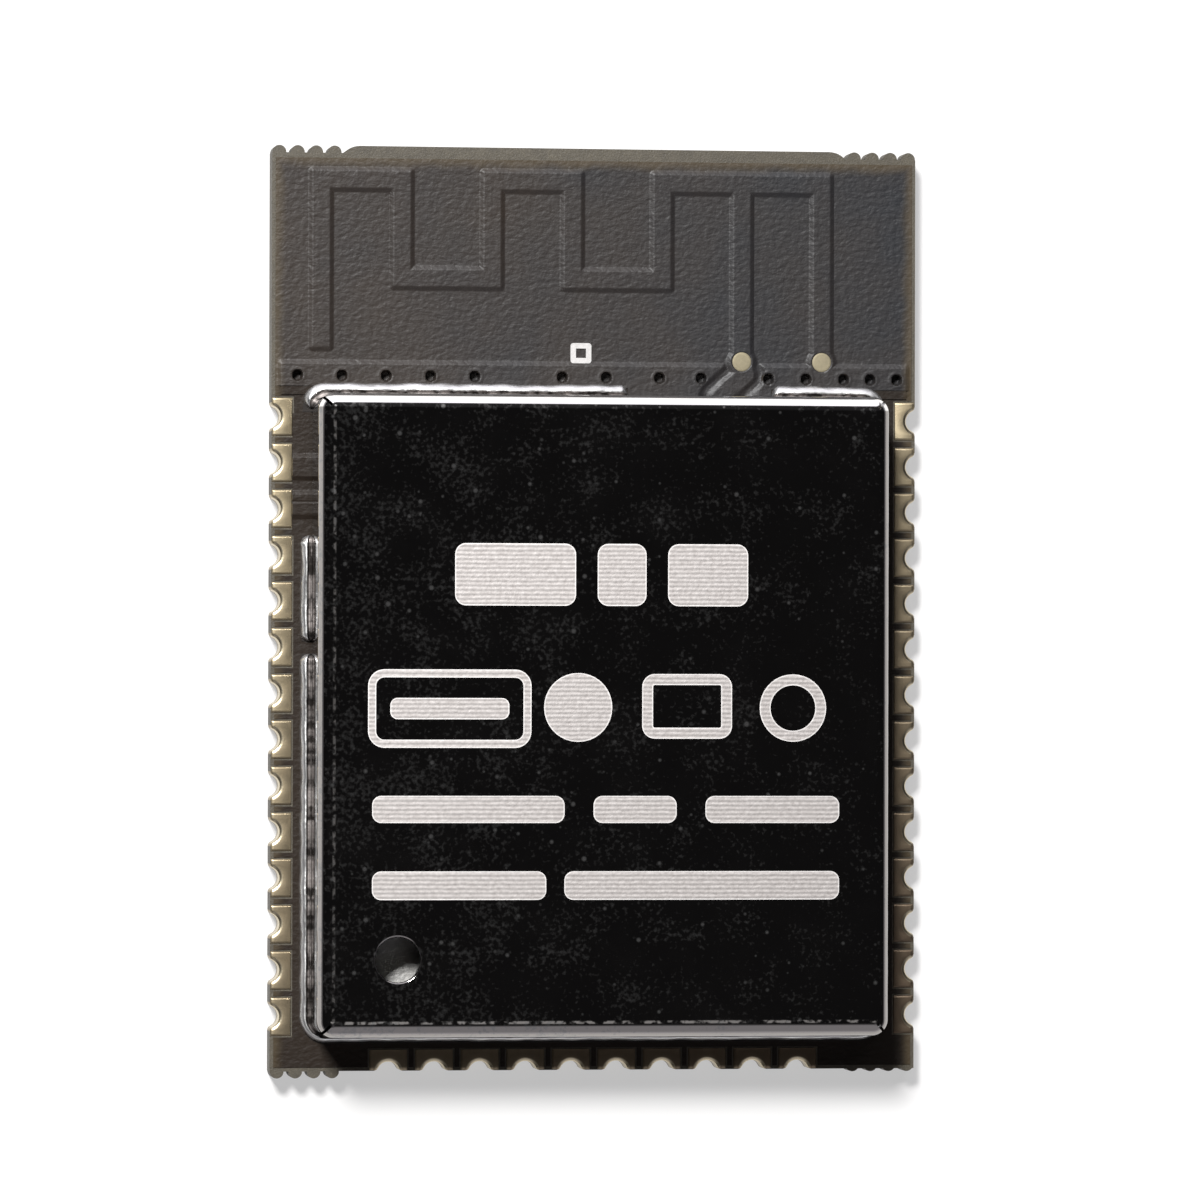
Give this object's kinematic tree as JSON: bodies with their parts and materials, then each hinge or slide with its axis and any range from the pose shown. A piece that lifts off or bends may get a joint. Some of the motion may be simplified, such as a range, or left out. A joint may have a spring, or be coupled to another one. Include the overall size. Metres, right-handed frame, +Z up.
{
  "type": "wifi module",
  "caption": "Flat radio module: castellated circuit board with a printed antenna and a shielded, soldered-on metal lid.",
  "frame": {"origin": "middle of the board's underside, on the plane that the module rests on", "axes": "+Y along the board to the antenna end, +X across the board to the right seen from above with the antenna up, +Z up out of the lid"},
  "size_m": [0.018, 0.0256, 0.0031],
  "materials": {
    "glass_epoxy": "bare glass-epoxy laminate, satin",
    "solder_mask": "dark grey solder mask, satin",
    "gold_plate": "thin immersion gold over nickel, satin",
    "copper": "copper under the mask",
    "sheet_metal": "nickel-silver sheet, polished",
    "solder": "reflowed tin solder, bright",
    "tinned": "tinned terminals",
    "mould_compound": "black moulded epoxy",
    "ceramic_white": "fired alumina ceramic",
    "ceramic_brown": "fired capacitor ceramic",
    "resistor_glass": "black overglaze",
    "ferrite_blue": "wound chip inductor body"
  },
  "bodies": {
    "root": {"laminate": "glass_epoxy", "solder_mask_top": "solder_mask", "solder_mask_bottom": "solder_mask", "left_edge_pads": "gold_plate", "right_edge_pads": "gold_plate", "bottom_edge_pads": "gold_plate", "thermal_pad": "gold_plate", "thermal_vias": "gold_plate", "stitching_vias": "gold_plate", "ground_strip": "copper", "feed_line": "copper", "signal_traces": "copper", "antenna_trace": "copper", "antenna_contacts": "gold_plate", "shield_land": "gold_plate", "shield_can": "sheet_metal", "shield_solder": "solder", "component_lands": "gold_plate", "soc_package": "mould_compound", "soc_terminals": "tinned", "soc_paddle": "tinned", "flash_package": "mould_compound", "flash_leads": "tinned", "crystal_base": "ceramic_white", "crystal_lid": "sheet_metal", "crystal_terminals": "gold_plate", "capacitor_bodies": "ceramic_brown", "capacitor_ends": "tinned", "bulk_capacitor_body": "ceramic_brown", "bulk_capacitor_ends": "tinned", "resistor_bodies": "resistor_glass", "resistor_ends": "tinned", "inductor_bodies": "ferrite_blue", "inductor_ends": "tinned"}
  },
  "joints": []
}
